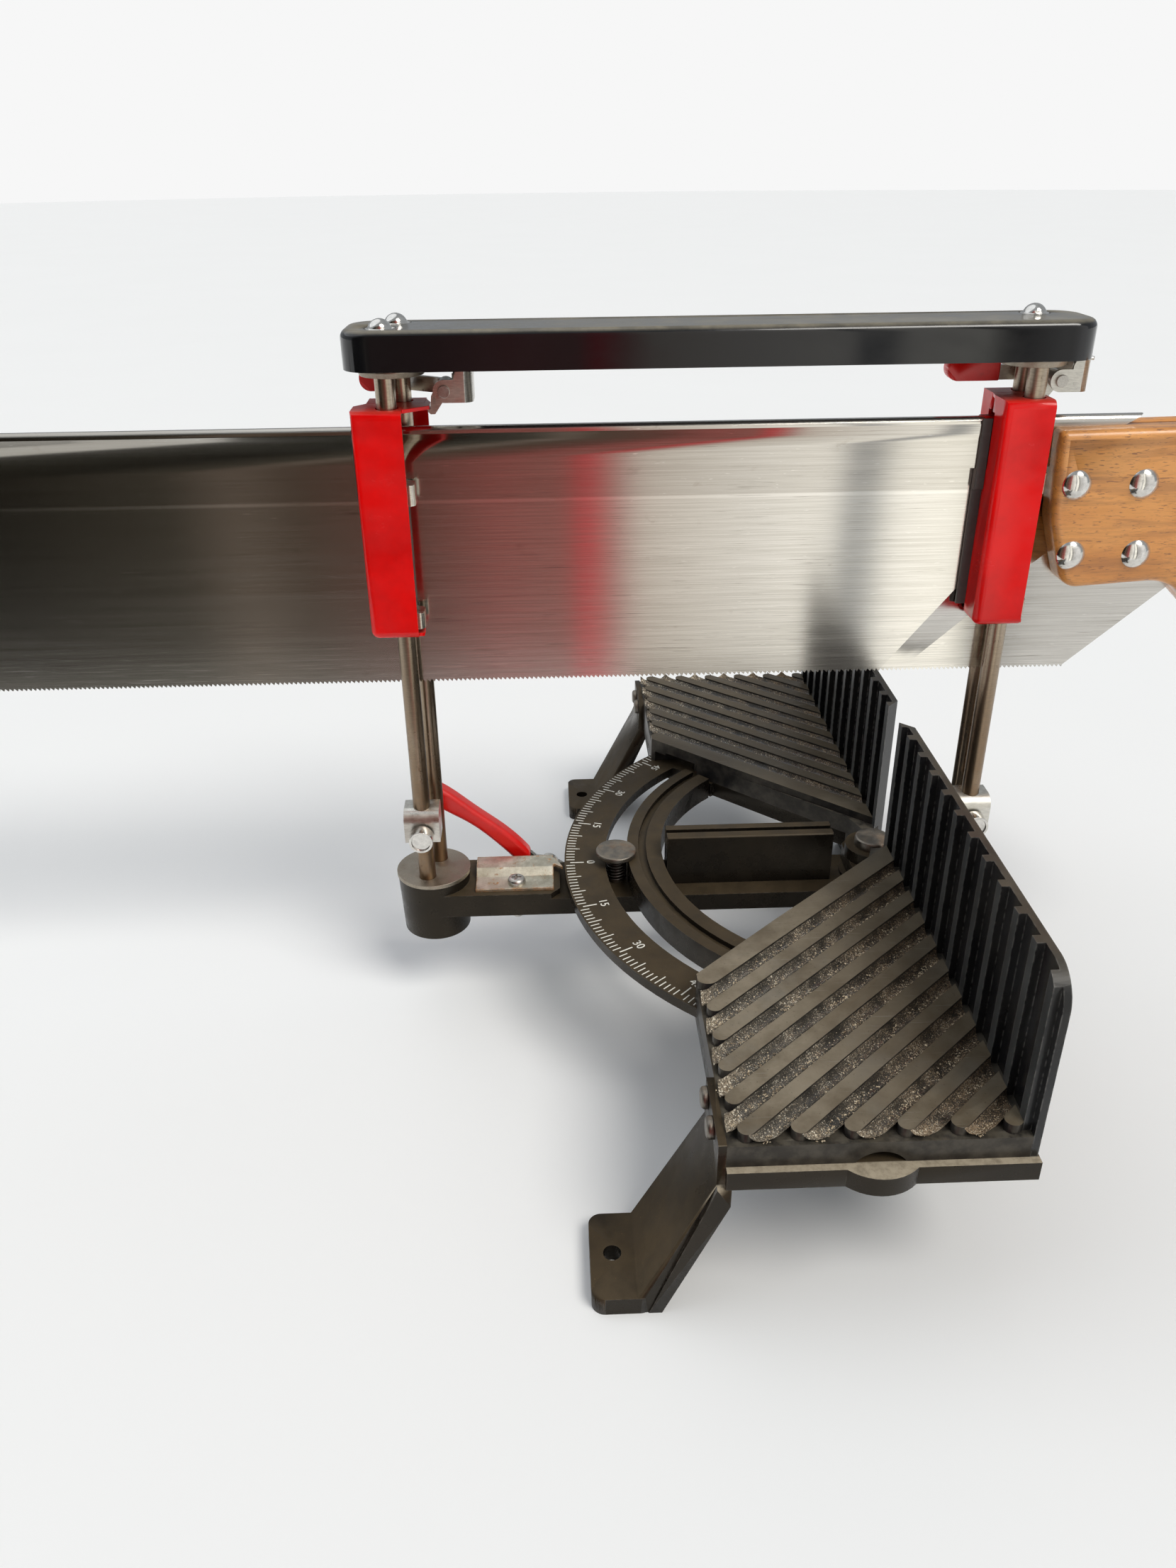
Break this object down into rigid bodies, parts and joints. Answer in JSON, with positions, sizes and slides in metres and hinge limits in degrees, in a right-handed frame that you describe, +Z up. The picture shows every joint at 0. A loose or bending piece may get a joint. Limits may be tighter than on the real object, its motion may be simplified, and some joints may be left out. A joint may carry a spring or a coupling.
{
  "type": "hand mitre saw",
  "caption": "Hand precision mitre saw: a backsaw slides in column guides and swings over a degree ring, ribbed tables and a ribbed fence.",
  "frame": {"origin": "on the bench, midway between the two front bench holes", "axes": "+X along the saw stroke at zero degrees, towards the handle; +Y along the fence; +Z up"},
  "size_m": [0.6714, 0.416, 0.3236],
  "materials": {
    "black_casting": "black enamelled die casting, dusty",
    "table_casting": "black enamelled casting with worn, dusty rib tops",
    "fence_casting": "black enamelled casting with worn rib faces",
    "black_enamel": "gloss black enamel",
    "zinc_screw": "zinc plated",
    "rod_steel": "ground and lightly tarnished",
    "grey_steel": "turned, dull",
    "bright_nickel": "bright plated",
    "pointer_zinc": "zinc plated with rust spots",
    "dark_steel": "blackened, worn",
    "spring_steel": "wire",
    "stamped_steel": "stamped, zinc plated",
    "red_plastic": "moulded, worn",
    "red_paint": "gloss red enamel",
    "clip_nickel": "nickel plated",
    "liner_plastic": "smooth, worn edges",
    "blade_steel": "ground along its length, scratched",
    "spine_steel": "brushed, tarnished",
    "beech": "varnished beech"
  },
  "bodies": {
    "base": {"base_frame": "black_casting", "table_near": "table_casting", "table_far": "table_casting", "fence_near": "fence_casting", "fence_far": "fence_casting", "leg_front_near": "black_casting", "leg_front_far": "black_casting", "leg_rear_near": "black_casting", "leg_rear_far": "black_casting", "table_screws": "dark_steel", "fence_screws": "dark_steel", "leg_screws": "dark_steel"},
    "arm": {"swing_arm": "black_casting", "column_cap_left": "grey_steel", "column_cap_right": "grey_steel", "rod_left_front": "rod_steel", "rod_left_rear": "rod_steel", "rod_right_front": "rod_steel", "rod_right_rear": "rod_steel", "bar_collars": "grey_steel", "top_bar": "black_enamel", "dome_nuts": "bright_nickel", "pointer": "pointer_zinc", "pointer_screw": "zinc_screw", "support_block": "black_casting", "block_screws": "dark_steel", "pivot_pin": "dark_steel", "pivot_nut": "dark_steel", "lock_pin": "zinc_screw", "catch_bracket_left": "stamped_steel", "catch_bracket_right": "stamped_steel", "catch_rivets": "zinc_screw", "clamp_bolt": "dark_steel", "clamp_nut": "dark_steel", "clamp_spring": "spring_steel"},
    "guide_left": {"guide_left_front": "red_paint", "guide_left_rear": "red_paint", "guide_left_bridge": "red_paint", "guide_left_clips": "clip_nickel", "guide_left_liners": "liner_plastic"},
    "guide_right": {"guide_right_front": "red_paint", "guide_right_rear": "red_paint", "guide_right_bridge": "red_paint", "guide_right_clips": "clip_nickel", "guide_right_liners": "liner_plastic"},
    "saw": {"blade": "blade_steel", "spine": "spine_steel", "handle": "beech", "handle_screws": "bright_nickel", "handle_nuts": "bright_nickel"},
    "catch_left": {"catch_lever_left": "stamped_steel", "catch_grip_left": "red_plastic"},
    "catch_right": {"catch_lever_right": "stamped_steel", "catch_grip_right": "red_plastic"},
    "lock_lever": {"lock_lever": "stamped_steel", "lock_grip": "red_plastic"},
    "stop_left": {"depth_stop_left": "stamped_steel"},
    "stop_right": {"depth_stop_right": "stamped_steel"},
    "thumb_left": {"thumb_screw_left": "bright_nickel"},
    "thumb_right": {"thumb_screw_right": "bright_nickel"}
  },
  "joints": [
    {"name": "arm_swing", "type": "hinge", "parent": "base", "child": "arm", "pos_m": [0.1384, 0, 0.07], "axis": [0, 0, 1], "range_deg": [-45, 45]},
    {"name": "guide_left_slide", "type": "slide", "parent": "arm", "child": "guide_left", "axis": [0, 0, 1], "range_m": [-0.08, 0]},
    {"name": "guide_right_slide", "type": "slide", "parent": "arm", "child": "guide_right", "axis": [0, 0, 1], "range_m": [-0.08, 0]},
    {"name": "saw_stroke", "type": "slide", "parent": "guide_left", "child": "saw", "axis": [1, 0, 0], "range_m": [-0.003, 0.235]},
    {"name": "catch_left_release", "type": "hinge", "parent": "arm", "child": "catch_left", "pos_m": [-0.057, 0, 0.296], "axis": [0, 1, 0], "range_deg": [-5, 0], "stiffness_Nm_per_rad": 0.3, "springref_deg": 3.44},
    {"name": "catch_right_release", "type": "hinge", "parent": "arm", "child": "catch_right", "pos_m": [0.1901, 0, 0.296], "axis": [0, 1, 0], "range_deg": [-5, 0], "stiffness_Nm_per_rad": 0.3, "springref_deg": 3.44},
    {"name": "lock_press", "type": "hinge", "parent": "arm", "child": "lock_lever", "pos_m": [-0.0216, 0.0215, 0.0565], "axis": [0, 1, 0], "range_deg": [-20, 0]},
    {"name": "stop_left_slide", "type": "slide", "parent": "arm", "child": "stop_left", "axis": [0, 0, 1], "range_m": [-0.02, 0.06]},
    {"name": "stop_right_slide", "type": "slide", "parent": "arm", "child": "stop_right", "axis": [0, 0, 1], "range_m": [-0.02, 0.06]},
    {"name": "thumb_left_turn", "type": "hinge", "parent": "stop_left", "child": "thumb_left", "pos_m": [-0.08, -0.02, 0.0975], "axis": [0, -1, 0], "continuous": true},
    {"name": "thumb_right_turn", "type": "hinge", "parent": "stop_right", "child": "thumb_right", "pos_m": [0.18, -0.02, 0.0975], "axis": [0, -1, 0], "continuous": true}
  ],
  "couplings": [
    {"joint": "guide_right_slide", "follows": "guide_left_slide", "ratio": 1}
  ]
}
